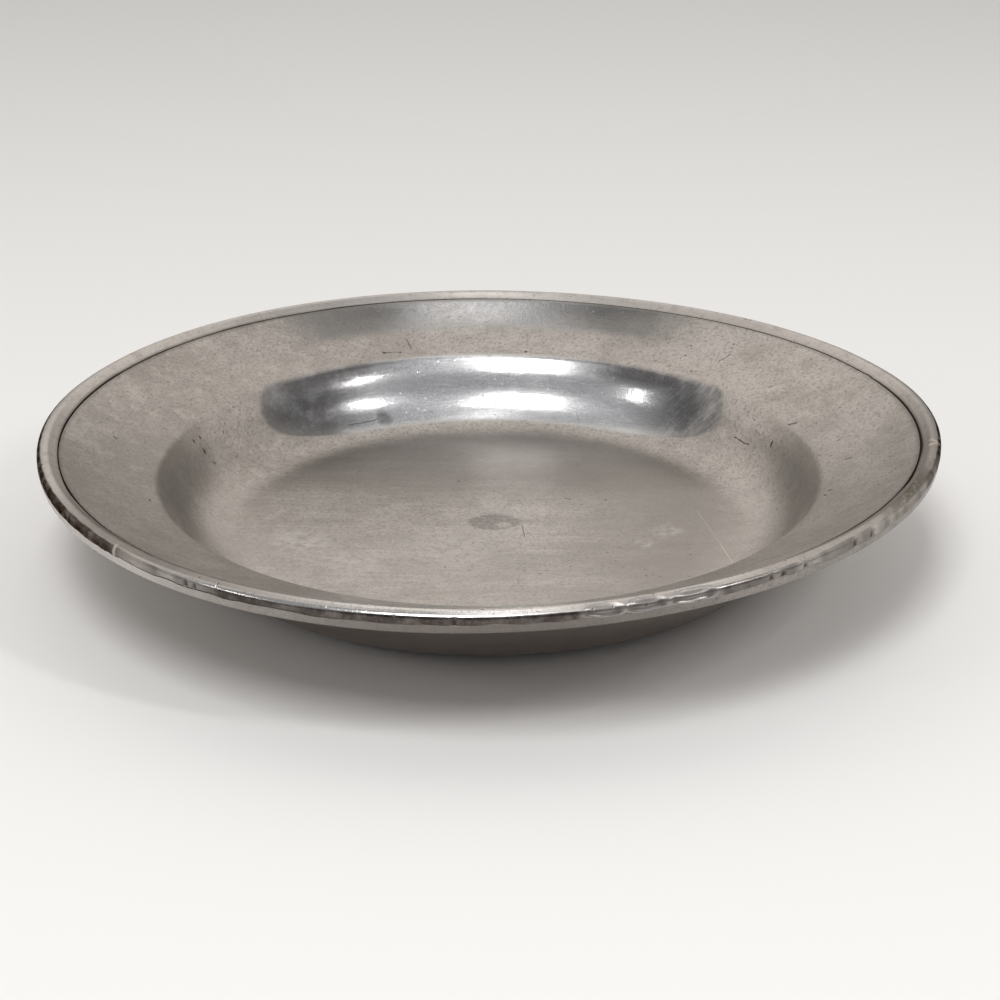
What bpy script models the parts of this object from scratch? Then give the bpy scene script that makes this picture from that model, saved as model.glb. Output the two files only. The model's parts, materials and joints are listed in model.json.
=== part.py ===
"""A pewter serving plate: a turned dish with a sloping flange, and a rim band soldered round its edge.

Both pieces are turned about the Z axis. The origin is the middle of the flat underside and +Z is up.
All sizes are in metres and all angles in degrees.
"""
import math

import bpy

# Overall sizes
RIM_DIAMETER = 0.2700
WELL_DIAMETER = 0.2020
BOOGE_HEIGHT = 0.0211

# Slopes above the level, seen in section
FLANGE_SLOPE = 26.0
BOOGE_SLOPE = 62.0

# Thicknesses of the dish
FLOOR_THICKNESS = 0.0036
WALL_THICKNESS = 0.0030

# Roundings of the dish, measured on its upper face
WELL_FILLET = 0.0200
KNEE_FILLET = 0.0090

# Rim band, which caps the edge of the flange
BAND_WIDTH = 0.0060
LAND_RISE = 0.0023
CREST_INSET = 0.0026
CREST_ROUND = 0.0016
CORNER_INSET = 0.0010
CORNER_DROP = 0.0007
CORNER_ROUND = 0.0003
BAND_DEPTH = 0.0034

# Lip of the dish that carries the band
LIP_HEIGHT = 0.0022
LIP_DRAFT = 0.0003
LIP_ROUND = 0.0007
LIP_ROOT_ROUND = 0.0030

# Solder seam between the band and its seat
SEAM_GAP = 0.0003

# Fineness of the turned faces
TURN_STEPS = 72
WIDE_ARC_STEPS = 8
KNEE_ARC_STEPS = 5
EDGE_ARC_STEPS = 3
SHARP_ANGLE = 35.0

PEWTER_COLOUR = (0.40, 0.375, 0.35, 1.0)
BAND_COLOUR = (0.44, 0.42, 0.40, 1.0)
PEWTER_ROUGHNESS = 0.38
BAND_ROUGHNESS = 0.30

# Places that both pieces share
RIM_RADIUS = RIM_DIAMETER / 2
KNEE_RADIUS = WELL_DIAMETER / 2
SEAM_RADIUS = RIM_RADIUS - BAND_WIDTH
FLANGE_TILT = math.radians(FLANGE_SLOPE)
BOOGE_TILT = math.radians(BOOGE_SLOPE)
KNEE_Z = FLOOR_THICKNESS + BOOGE_HEIGHT
SEAM_Z = KNEE_Z + (SEAM_RADIUS - KNEE_RADIUS) * math.tan(FLANGE_TILT)
CREST_Z = SEAM_Z + LAND_RISE
BAND_UNDERSIDE_Z = CREST_Z - BAND_DEPTH
SEAT_Z = BAND_UNDERSIDE_Z - SEAM_GAP


def clear_scene():
    """Remove every object that the scene starts with."""
    for item in list(bpy.data.objects):
        bpy.data.objects.remove(item, do_unlink=True)


def pewter(name, colour, roughness):
    """A satin metal material."""
    material = bpy.data.materials.new(name)
    material.use_nodes = True
    shader = material.node_tree.nodes["Principled BSDF"]
    shader.inputs["Base Color"].default_value = colour
    shader.inputs["Metallic"].default_value = 1.0
    shader.inputs["Roughness"].default_value = roughness
    return material


def shifted_line(point, tilt, distance):
    """The line through a point at a tilt, moved outwards and down by a distance, as (point, tilt)."""
    radius, height = point
    return (radius + distance * math.sin(tilt), height - distance * math.cos(tilt)), tilt


def crossing(first, second):
    """Where two tilted lines of the section cross."""
    (radius_a, height_a), tilt_a = first
    (radius_b, height_b), tilt_b = second
    slope_a = math.tan(tilt_a)
    slope_b = math.tan(tilt_b)
    radius = (height_b - height_a + slope_a * radius_a - slope_b * radius_b) / (slope_a - slope_b)
    return radius, height_a + slope_a * (radius - radius_a)


def at_height(line, height):
    """The point of a tilted line at a height."""
    (radius, start), tilt = line
    return radius + (height - start) / math.tan(tilt), height


def rounded(corners, closed=False):
    """Points of an outline whose corners (radius, height, rounding, steps) are rounded by arcs.

    Where two roundings share a short side, each keeps its share of that side.
    """
    points = []
    count = len(corners)
    for index, (radius, height, rounding, steps) in enumerate(corners):
        if rounding == 0:
            points.append((radius, height))
            continue
        before = corners[index - 1]
        after = corners[(index + 1) % count if closed else index + 1]
        reach = float("inf")
        arms = []
        for neighbour in (before, after):
            arm = (neighbour[0] - radius, neighbour[1] - height)
            length = math.hypot(*arm)
            arms.append((arm[0] / length, arm[1] / length))
            reach = min(reach, length * rounding / (rounding + neighbour[2]))
        half = math.acos(arms[0][0] * arms[1][0] + arms[0][1] * arms[1][1]) / 2
        reach = min(reach, rounding / math.tan(half))
        size = reach * math.tan(half)
        middle = (arms[0][0] + arms[1][0], arms[0][1] + arms[1][1])
        offset = size / math.sin(half) / math.hypot(*middle)
        centre = (radius + middle[0] * offset, height + middle[1] * offset)
        start = math.atan2(height + arms[0][1] * reach - centre[1], radius + arms[0][0] * reach - centre[0])
        end = math.atan2(height + arms[1][1] * reach - centre[1], radius + arms[1][0] * reach - centre[0])
        turn = (end - start + math.pi) % (2 * math.pi) - math.pi
        for step in range(steps + 1):
            angle = start + turn * step / steps
            points.append((centre[0] + size * math.cos(angle), centre[1] + size * math.sin(angle)))
    return points


def turned(name, outline, closed, material):
    """Turn an outline of (radius, height) points about Z into a smooth round solid."""
    mesh = bpy.data.meshes.new(name)
    vertices = [(radius, 0.0, height) for radius, height in outline]
    edges = [(index, index + 1) for index in range(len(outline) - 1)]
    if closed:
        edges.append((len(outline) - 1, 0))
    mesh.from_pydata(vertices, edges, [])
    piece = bpy.data.objects.new(name, mesh)
    bpy.context.collection.objects.link(piece)
    lathe = piece.modifiers.new("Turn", "SCREW")
    lathe.axis = "Z"
    lathe.angle = 2 * math.pi
    lathe.steps = TURN_STEPS
    lathe.render_steps = TURN_STEPS
    lathe.use_merge_vertices = True
    lathe.merge_threshold = 0.00001
    bpy.context.view_layer.objects.active = piece
    bpy.ops.object.modifier_apply(modifier=lathe.name)
    mesh.shade_smooth()
    mesh.set_sharp_from_angle(angle=math.radians(SHARP_ANGLE))
    mesh.materials.append(material)
    return piece


def dish_outline():
    """Section of the dish from the middle of its floor, out over the flange and lip, and back underneath."""
    flange = ((KNEE_RADIUS, KNEE_Z), FLANGE_TILT)
    booge = ((KNEE_RADIUS, KNEE_Z), BOOGE_TILT)
    flange_under = shifted_line(*flange, WALL_THICKNESS)
    booge_under = shifted_line(*booge, WALL_THICKNESS)
    well_corner = at_height(booge, FLOOR_THICKNESS)
    knee_under = crossing(flange_under, booge_under)
    base_corner = at_height(booge_under, 0.0)
    lip_bottom = SEAT_Z - LIP_HEIGHT
    lip_root = at_height(flange_under, lip_bottom)
    seat_wall = SEAM_RADIUS - SEAM_GAP
    seat_wall_top = SEAM_Z - SEAM_GAP * math.tan(FLANGE_TILT)
    return rounded([
        (0.0, FLOOR_THICKNESS, 0, 0),
        (*well_corner, WELL_FILLET, WIDE_ARC_STEPS),
        (KNEE_RADIUS, KNEE_Z, KNEE_FILLET, KNEE_ARC_STEPS),
        (seat_wall, seat_wall_top, 0, 0),
        (seat_wall, SEAT_Z, 0, 0),
        (RIM_RADIUS, SEAT_Z, 0, 0),
        (RIM_RADIUS - LIP_DRAFT, lip_bottom, LIP_ROUND, EDGE_ARC_STEPS),
        (*lip_root, LIP_ROOT_ROUND, EDGE_ARC_STEPS),
        (*knee_under, KNEE_FILLET + WALL_THICKNESS, KNEE_ARC_STEPS),
        (*base_corner, WELL_FILLET + WALL_THICKNESS, WIDE_ARC_STEPS),
        (0.0, 0.0, 0, 0),
    ])


def band_outline():
    """Section of the rim band: a sloping land up to a round crest, a bevelled outer face and a flat seat."""
    return rounded([
        (SEAM_RADIUS, SEAM_Z, 0, 0),
        (RIM_RADIUS - CREST_INSET, CREST_Z, CREST_ROUND, EDGE_ARC_STEPS),
        (RIM_RADIUS - CORNER_INSET, CREST_Z - CORNER_DROP, CORNER_ROUND, EDGE_ARC_STEPS),
        (RIM_RADIUS, BAND_UNDERSIDE_Z, 0, 0),
        (SEAM_RADIUS, BAND_UNDERSIDE_Z, 0, 0),
    ], closed=True)


clear_scene()
turned("dish", dish_outline(), False, pewter("worn_pewter", PEWTER_COLOUR, PEWTER_ROUGHNESS))
turned("rim_band", band_outline(), True, pewter("polished_pewter", BAND_COLOUR, BAND_ROUGHNESS))
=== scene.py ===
import json
import math

import bpy
import numpy as np
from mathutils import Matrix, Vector


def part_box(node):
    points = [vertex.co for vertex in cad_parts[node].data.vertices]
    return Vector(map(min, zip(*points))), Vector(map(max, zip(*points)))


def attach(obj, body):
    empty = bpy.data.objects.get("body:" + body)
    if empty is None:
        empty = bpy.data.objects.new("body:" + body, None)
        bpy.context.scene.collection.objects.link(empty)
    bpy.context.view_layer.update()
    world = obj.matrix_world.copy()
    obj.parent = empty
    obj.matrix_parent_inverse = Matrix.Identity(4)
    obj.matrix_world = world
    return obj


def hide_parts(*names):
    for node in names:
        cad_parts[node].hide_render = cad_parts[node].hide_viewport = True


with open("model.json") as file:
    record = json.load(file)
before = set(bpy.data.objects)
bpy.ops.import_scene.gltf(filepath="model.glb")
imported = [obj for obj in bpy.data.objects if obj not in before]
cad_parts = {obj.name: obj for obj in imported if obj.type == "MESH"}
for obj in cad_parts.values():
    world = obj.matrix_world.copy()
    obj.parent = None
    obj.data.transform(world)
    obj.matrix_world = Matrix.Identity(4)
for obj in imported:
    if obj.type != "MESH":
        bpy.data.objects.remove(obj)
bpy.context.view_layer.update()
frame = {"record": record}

# Places read from the frame, in metres
MOUNTS = {mount["name"]: mount for mount in frame["record"]["mounts"]}
RIM_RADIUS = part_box("rim_band")[1].x
CREST_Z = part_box("rim_band")[1].z
BAND_UNDERSIDE_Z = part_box("rim_band")[0].z
FLOOR_Z = MOUNTS["well_floor"]["pos_m"][2]

# Section of the dish, in metres and degrees
KNEE_RADIUS = 0.1010
BOOGE_HEIGHT = 0.0211
FLANGE_TILT = math.radians(26.0)
FLANGE_INNER_TILT = math.radians(20.5)
FLANGE_CURVE = 0.130
BOOGE_TILT = math.radians(66.0)
SHOULDER_TILT = math.radians(52.0)
SHOULDER_DROP = 0.0046
SHOULDER_FILLET = 0.0140
WALL = 0.0030
WELL_FILLET = 0.0200
KNEE_FILLET = 0.0040
LIP_HEIGHT = 0.0025
LIP_DRAFT = 0.0003
LIP_ROUND = 0.0007
LIP_ROOT_FILLET = 0.0030
KNEE_UNDER_FILLET = 0.0120
EDGE_ROUND = 0.00014

# Section of the rim band
BAND_WIDTH = 0.0060
BAND_SINK = 0.00012
CREST_INSET = 0.00275
CREST_RISE = 0.00016
CREST_ROUND = 0.0020
CORNER_INSET = 0.00006
CORNER_DROP = 0.00098
CORNER_ROUND = 0.0015
SEAM_GAP = 0.00030
JOIN_GAP = 0.00004

KNEE_Z = FLOOR_Z + BOOGE_HEIGHT
SEAM_RADIUS = RIM_RADIUS - BAND_WIDTH
SEAM_Z = KNEE_Z + (SEAM_RADIUS - KNEE_RADIUS) * math.tan(FLANGE_TILT)
SEAT_Z = BAND_UNDERSIDE_Z - JOIN_GAP

# How far the old rim has bent, in metres; where the bend starts and ends, as shares of the rim's radius,
# and its scale; middle and half width of the dip, in degrees; ends of the sag, as sines of the bearing
RIM_TILT = 0.0011
RIM_SADDLE = 0.0005
RIM_TWIST = 0.0009
FRONT_DIP = 0.0012
BACK_SAG = 0.0007
BEND_START, BEND_END, BEND_SCALE = 0.6, 1.1, 1.15
DIP_BEARING, DIP_HALF = -90.0, 80.0
SAG_ENDS = (-0.10, 0.45)

# Waves of the flange, slow and quick, in metres. The band has none
FLANGE_WAVES = (0.00012, 0.00006)

# The seam between band and flange: how far it strays and opens, in metres; its kink as bearing, half width
# in degrees and depth in metres; its clean stretch as bearing, half width in degrees and strength
SEAM_STRAY = 0.00016
SEAM_OPENING = 0.00026
SEAM_KINK = (17.7, 1.6, 0.00035)
CLEAN_SEAM = (60.0, 62.0, 0.75)

# How far from the seam each piece follows it, and where the dirt beside it ends and is full, in metres
DISH_SEAM_REACH, BAND_SEAM_REACH = 0.0025, 0.003
SEAM_HALO = (0.0009, 0.0001)

# The jagged join between band and lip: its height in metres, the shares of its coarse and fine chips, and
# its lowest point as a share of the height; how far up and down it reaches, and the insets from the edge
# where it ends and is full, in metres
JOIN_RISE = 0.00040
CHIP_SHARES = (0.55, 0.65)
CHIP_LOWEST = -0.25
JOIN_REACH = 0.0012
DISH_JOIN_INSETS = (0.0015, 0.0004)
BAND_JOIN_INSETS = (0.002, 0.0003)

# Insets from the edge where the look of the underside and of the lip starts and is full, in metres
UNDER_INSETS = (0.0030, 0.0060)
LIP_INSETS = (0.0016, 0.0006)

# Stretch of the lip in front painted dark as painted shade: bearing and half width in degrees
SHADED_LIP_FRONT = (-88.0, 44.0)

# Fineness of the meshes: points round the rim and along the section
DISH_ROUND, DISH_ALONG = 480, 200
BAND_ROUND, BAND_ALONG = 1900, 52

# The camera stands where the photograph was taken from. Lengths are in metres, the sensor's in millimetres,
# and the rim's centre falls on CENTRE_PIXEL
VIEW_CENTRE = Vector((0.0, 0.0, CREST_Z))
VIEW_DISTANCE = 0.5967
VIEW_ELEVATION = math.radians(20.32)
FOCAL_PIXELS = 1956.0
IMAGE_PIXELS = 1000.0
CENTRE_PIXEL = (489.1, 412.6)
SENSOR_WIDTH = 36.0

rng = np.random.default_rng(7)
COARSE_CHIPS = rng.uniform(-1.0, 1.0, 90)
FINE_CHIPS = rng.uniform(-1.0, 1.0, 300)


def smoothstep(value, low, high):
    """0 before low and 1 past high, with an S curve between. Low may be the larger of the two."""
    share = np.clip((value - low) / (high - low), 0.0, 1.0)
    return share * share * (3.0 - 2.0 * share)


def hump(value):
    """1 at zero, falling smoothly to 0 at plus or minus 1."""
    return np.where(np.abs(value) < 1.0, (1.0 - value * value) ** 2, 0.0)


def turn_from(angle, centre_degrees):
    """Signed angle from a bearing, in degrees, between -180 and 180."""
    return (np.degrees(angle) - centre_degrees + 180.0) % 360.0 - 180.0


def stretch(angle, bearing, half_width):
    """1 along most of a stretch of the rim, falling to 0 at its ends."""
    return hump(turn_from(angle, bearing) / half_width) ** 0.5


def from_edge(radius, insets):
    """0 at the first inset from the rim's edge and 1 at the second, with an S curve between."""
    return smoothstep(radius, RIM_RADIUS - insets[0], RIM_RADIUS - insets[1])


def ring_noise(angle, heights):
    """Smooth noise round the rim: random heights in -1..1 joined by a periodic S curve."""
    count = len(heights)
    place = np.asarray(angle) / (2.0 * np.pi) * count
    low = np.floor(place).astype(int)
    blend = smoothstep(place - low, 0.0, 1.0)
    return heights[low % count] * (1.0 - blend) + heights[(low + 1) % count] * blend


def rounded_corner(before, corner, after, rounding, steps=24):
    """Arc of the given radius that touches both sides of a corner, as rows of (radius, height)."""
    corner = np.array(corner)
    arms = [np.array(p) - corner for p in (before, after)]
    arms = [arm / np.linalg.norm(arm) for arm in arms]
    half = math.acos(float(np.clip(arms[0] @ arms[1], -1.0, 1.0))) / 2.0
    middle = arms[0] + arms[1]
    centre = corner + middle / np.linalg.norm(middle) * rounding / math.sin(half)
    ends = [corner + arm * rounding / math.tan(half) - centre for arm in arms]
    start, end = (math.atan2(e[1], e[0]) for e in ends)
    turn = (end - start + math.pi) % (2.0 * math.pi) - math.pi
    angles = start + turn * np.linspace(0.0, 1.0, steps)
    return centre + rounding * np.stack([np.cos(angles), np.sin(angles)], -1)


def section(corners, count, closed, turn_length=0.012, weight=None):
    """Section line through rounded corners (radius, height, rounding), resampled so that points crowd
    where the line bends: the spacing follows length plus turn_length for each radian of turn. A weight of
    (radius, height), if given, crowds the points on some stretches."""
    pieces = []
    total = len(corners)
    for index, (radius, height, rounding) in enumerate(corners):
        if rounding == 0.0:
            pieces.append(np.array([[radius, height]]))
            continue
        before = corners[index - 1][:2]
        after = corners[(index + 1) % total][:2]
        pieces.append(rounded_corner(before, (radius, height), after, rounding))
    line = np.concatenate(pieces)
    if closed:
        line = np.concatenate([line, line[:1]])
    steps = np.diff(line, axis=0)
    lengths = np.linalg.norm(steps, axis=1)
    headings = np.unwrap(np.arctan2(steps[:, 1], steps[:, 0]))
    bends = np.abs(np.diff(headings, prepend=headings[0]))
    if weight:
        middles = (line[:-1] + line[1:]) / 2.0
        lengths = lengths * weight(middles[:, 0], middles[:, 1])
    run = np.concatenate([[0.0], np.cumsum(lengths + turn_length * bends)])
    wanted = np.linspace(0.0, run[-1], count + 1 if closed else count)
    wanted = wanted[:-1] if closed else wanted
    return np.stack([np.interp(wanted, run, line[:, 0]), np.interp(wanted, run, line[:, 1])], -1)


def rim_warp(radius, angle):
    """Height that an old rim has bent by: a tilt, a saddle, a dip at the front and a sag along the back,
    which grow from the knee to the edge."""
    share = smoothstep(radius, BEND_START * RIM_RADIUS, BEND_END * RIM_RADIUS) * BEND_SCALE
    tilt = RIM_TILT * np.cos(angle)
    saddle = RIM_SADDLE * np.cos(2.0 * angle) - RIM_TWIST * np.sin(2.0 * angle)
    front_dip = FRONT_DIP * hump(turn_from(angle, DIP_BEARING) / DIP_HALF)
    back_sag = BACK_SAG * smoothstep(np.sin(angle), *SAG_ENDS)
    return share * (tilt + saddle - front_dip - back_sag)


def mesh_piece(name, rings, poles, attributes):
    """Mesh from rings of points, an array (along, round, 3), with faces outwards. With poles the first
    and last rings close on one point each, and without them the last ring joins the first."""
    along, around = rings.shape[:2]
    points = rings.reshape(-1, 3)
    index = np.arange(along * around).reshape(along, around)
    nearer = index if not poles else index[:-1]
    farther = np.roll(index, -1, axis=0) if not poles else index[1:]
    quads = np.stack([nearer, farther, np.roll(farther, -1, 1), np.roll(nearer, -1, 1)], -1).reshape(-1, 4)
    faces = quads.tolist()
    if poles:
        first, last = len(points), len(points) + 1
        points = np.concatenate([points, [poles[0], poles[1]]])
        top, bottom = index[0], index[-1]
        fan_top = np.stack([np.full(around, first), top, np.roll(top, -1)], -1)
        fan_bottom = np.stack([np.full(around, last), np.roll(bottom, -1), bottom], -1)
        faces += fan_top.tolist() + fan_bottom.tolist()
    mesh = bpy.data.meshes.new(name)
    mesh.from_pydata(points.tolist(), [], faces)
    for label, values in attributes.items():
        flat = np.broadcast_to(values, (along, around)).reshape(-1)
        if poles:
            flat = np.concatenate([flat, [flat[0], flat[-1]]])
        layer = mesh.attributes.new(label, "FLOAT", "POINT")
        layer.data.foreach_set("value", flat.astype(np.float32))
    mesh.shade_smooth()
    piece = bpy.data.objects.new(name, mesh)
    bpy.context.scene.collection.objects.link(piece)
    return piece


def around(radius, height, angle):
    """Rings of points from radius and height arrays (along, round) and the bearings."""
    return np.stack([radius * np.cos(angle), radius * np.sin(angle), height], -1)


def seam_wander(angle):
    """How far the seam strays from a true circle, with the kink at the back right."""
    slow = SEAM_STRAY * (np.cos(3.0 * angle + 0.6) + 0.6 * np.cos(7.0 * angle + 2.1))
    bearing, half_width, depth = SEAM_KINK
    return slow + depth * hump(turn_from(angle, bearing) / half_width)


def seam_clean(angle):
    """How clean and tight the seam is: its strength at the back right, 0 on the left and in front."""
    bearing, half_width, strength = CLEAN_SEAM
    return strength * stretch(angle, bearing, half_width)


def join_line(angle):
    """How far the jagged join between band and lip rises. Both pieces follow it, each at its own points."""
    coarse, fine = CHIP_SHARES
    rise = coarse * ring_noise(angle, COARSE_CHIPS) + fine * ring_noise(angle, FINE_CHIPS)
    return JOIN_RISE * np.clip(rise, CHIP_LOWEST, 1.0)


def make_dish():
    """Dish: the section runs from the middle of the floor over booge, flange and lip and back underneath,
    and is carried round the axis with a slow waviness of the flange and a bent rim."""
    tan_flange, tan_booge = math.tan(FLANGE_TILT), math.tan(BOOGE_TILT)
    shoulder_r = KNEE_RADIUS - SHOULDER_DROP / math.tan(SHOULDER_TILT)
    shoulder_z = KNEE_Z - SHOULDER_DROP
    well_corner = shoulder_r - (BOOGE_HEIGHT - SHOULDER_DROP) / tan_booge
    flange_drop = WALL / math.cos(FLANGE_TILT)
    outer_r = shoulder_r + WALL / math.sin(BOOGE_TILT)
    knee_gap = shoulder_z - KNEE_Z + flange_drop + tan_booge * (KNEE_RADIUS - outer_r)
    knee_under_r = KNEE_RADIUS + knee_gap / (tan_flange - tan_booge)
    knee_under_z = KNEE_Z - flange_drop + (knee_under_r - KNEE_RADIUS) * tan_flange
    base_corner = outer_r - shoulder_z / tan_booge
    lip_bottom = SEAT_Z - LIP_HEIGHT
    lip_root = KNEE_RADIUS + (lip_bottom - KNEE_Z + flange_drop) / tan_flange
    seat_wall = SEAM_RADIUS - SEAM_GAP
    flange_middle = (KNEE_RADIUS + SEAM_RADIUS) / 2.0
    flange_middle_z = KNEE_Z + (flange_middle - KNEE_RADIUS) * math.tan(FLANGE_INNER_TILT)
    line = section([
        (0.0, FLOOR_Z, 0.0),
        (well_corner, FLOOR_Z, WELL_FILLET),
        (shoulder_r, shoulder_z, SHOULDER_FILLET),
        (KNEE_RADIUS, KNEE_Z, KNEE_FILLET),
        (flange_middle, flange_middle_z, FLANGE_CURVE),
        (seat_wall, SEAM_Z - SEAM_GAP * tan_flange, EDGE_ROUND),
        (seat_wall, SEAT_Z, EDGE_ROUND),
        (RIM_RADIUS, SEAT_Z, EDGE_ROUND),
        (RIM_RADIUS - LIP_DRAFT, lip_bottom, LIP_ROUND),
        (lip_root, lip_bottom, LIP_ROOT_FILLET),
        (knee_under_r, knee_under_z, KNEE_UNDER_FILLET),
        (base_corner, 0.0, WELL_FILLET + WALL),
        (0.0, 0.0, 0.0),
    ], DISH_ALONG, False)
    angle = np.linspace(0.0, 2.0 * np.pi, DISH_ROUND, endpoint=False)[None, :]
    radius, height = line[1:-1, :1], line[1:-1, 1:]
    rows = np.arange(1, DISH_ALONG - 1)[:, None]
    edge_row = int(np.argmax(line[:, 0]))
    upper_rows = rows < edge_row
    under = from_edge(radius, UNDER_INSETS) * (rows > edge_row)
    near_seam = hump((radius - seat_wall) / DISH_SEAM_REACH)
    seam_depth = smoothstep(height - SEAM_Z, -0.0001, -0.0006) * upper_rows * (radius > seat_wall - 0.0003)
    seam_depth = seam_depth * from_edge(radius, (0.0002, 0.0010))
    radius = radius + seam_wander(angle) * near_seam
    slow, quick = FLANGE_WAVES
    wave = slow * ring_noise(angle, COARSE_CHIPS[:9]) + quick * ring_noise(angle, COARSE_CHIPS[9:32])
    lip_top = hump((height - SEAT_Z) / JOIN_REACH) * from_edge(radius, DISH_JOIN_INSETS)
    height = height + join_line(angle) * lip_top
    height = height + wave * smoothstep(radius, KNEE_RADIUS, SEAM_RADIUS) + rim_warp(radius, angle)
    poles = [(0.0, 0.0, line[0, 1]), (0.0, 0.0, line[-1, 1])]
    lip = from_edge(radius, LIP_INSETS)
    front = stretch(angle, *SHADED_LIP_FRONT)
    right = smoothstep(np.cos(angle), 0.1, 0.5)
    halo = 0.40 * smoothstep(np.abs(radius - seat_wall), *SEAM_HALO) * upper_rows
    halo = halo * (1.0 - seam_clean(angle))
    # Painted light: the lip is painted pale on the left; painted shade darkens it in front and at the right
    lit_left = smoothstep(np.cos(angle), 0.3, -0.4)
    attributes = {
        "under": under,
        "grime": np.maximum(seam_depth, halo),
        "lip": lip * (1.0 - front) * lit_left,
        "dull_lip": lip * np.maximum(front, 0.6 * right),
    }
    return mesh_piece("pewter_dish", around(radius, height, angle), poles, attributes)


# Parts of the band's section: insets from the edge and drops from the crest where they start and are full,
# in metres
OUTSIDE_INSETS = (0.0026, 0.0018)
CREST_INSETS, CREST_DROPS = (0.0050, 0.0032), (0.0022, 0.0010)

# Dents of the band at the front right: bearing, half width in degrees, depth in metres; how far below the
# crest their middle is and half their height, in metres, and how square they are
SCALLOPS = [(-78.0, 2.3, 0.00042), (-73.3, 2.4, 0.00045), (-68.0, 2.8, 0.00045)]
SCALLOP_DROP = 0.00150
SCALLOP_HALF = 0.00150
SCALLOP_POWER = 2.6

# Notches in the lower edge of the band: bearing, half width in degrees, depth in metres
NOTCHES = [
    (-124.9, 0.45, 0.0007), (-123.6, 0.35, 0.0006), (-58.2, 0.40, 0.0006), (-56.5, 0.60, 0.0006),
    (-53.3, 0.45, 0.0006), (-44.9, 0.60, 0.0006), (-41.7, 0.45, 0.0005), (-93.6, 0.35, 0.0005),
]

# Joint of the band's strip: bearing and half width in degrees, depth in metres, half width of its solder
STRIP_JOINT, JOINT_HALF, JOINT_DEPTH = -136.8, 0.40, 0.00015
SOLDER_HALF = 0.38

# Forked nick in the crest: bearing, spread of the forks and half width in degrees, depth in metres, and the
# insets from the edge where it ends and is full
CREST_NICK, NICK_FORK, NICK_HALF, NICK_DEPTH = -13.1, 0.75, 0.42, 0.00030
NICK_INSETS = (0.0042, 0.0030)

# Dark outer face, painted shade: how far below the crest it starts, in metres, and how much lower it starts
# on some stretches, as bearing, half width in degrees and drop in metres
FACE_SHADE_DROP = 0.00050
FACE_SHADE_LOWER = [(-95.0, 48.0, 0.00050), (-118.0, 17.0, 0.00040)]
FACE_SHADE_RAGGED = 0.00004

# Ripple along the crest, in metres
CREST_RIPPLE = 0.00004

# Stretches of the band, as bearing and half width in degrees
RUBBED_FACES = [(-129.0, 9.0), (-42.0, 27.0)]
CREST_STAIN = (-29.0, 10.0)

# Polished stretches of the crest, also painted light as a painted highlight: bearing, half width in
# degrees, strength
POLISHED_AND_LIT_CRESTS = [(-103.0, 27.0, 1.0), (-65.0, 8.0, 0.6)]

# Stretches of the land painted dark as painted shade, all but their outer edge, which stays a bright line:
# bearing and half width in degrees, strength
DARK_LANDS = [(-130.0, 27.0, 1.0), (-30.0, 40.0, 0.55)]

# Dark speck on the crest: bearing in degrees, inset and radius in metres
SPECK = (-163.6, 0.0011, 0.0006)


def band_weight(radius, height):
    """Crowds the band's points on the faces that can be seen."""
    hidden = (height < BAND_UNDERSIDE_Z + 0.0001) | (radius < SEAM_RADIUS + 0.0001)
    return np.where(hidden, 0.5, 3.0)


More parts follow.
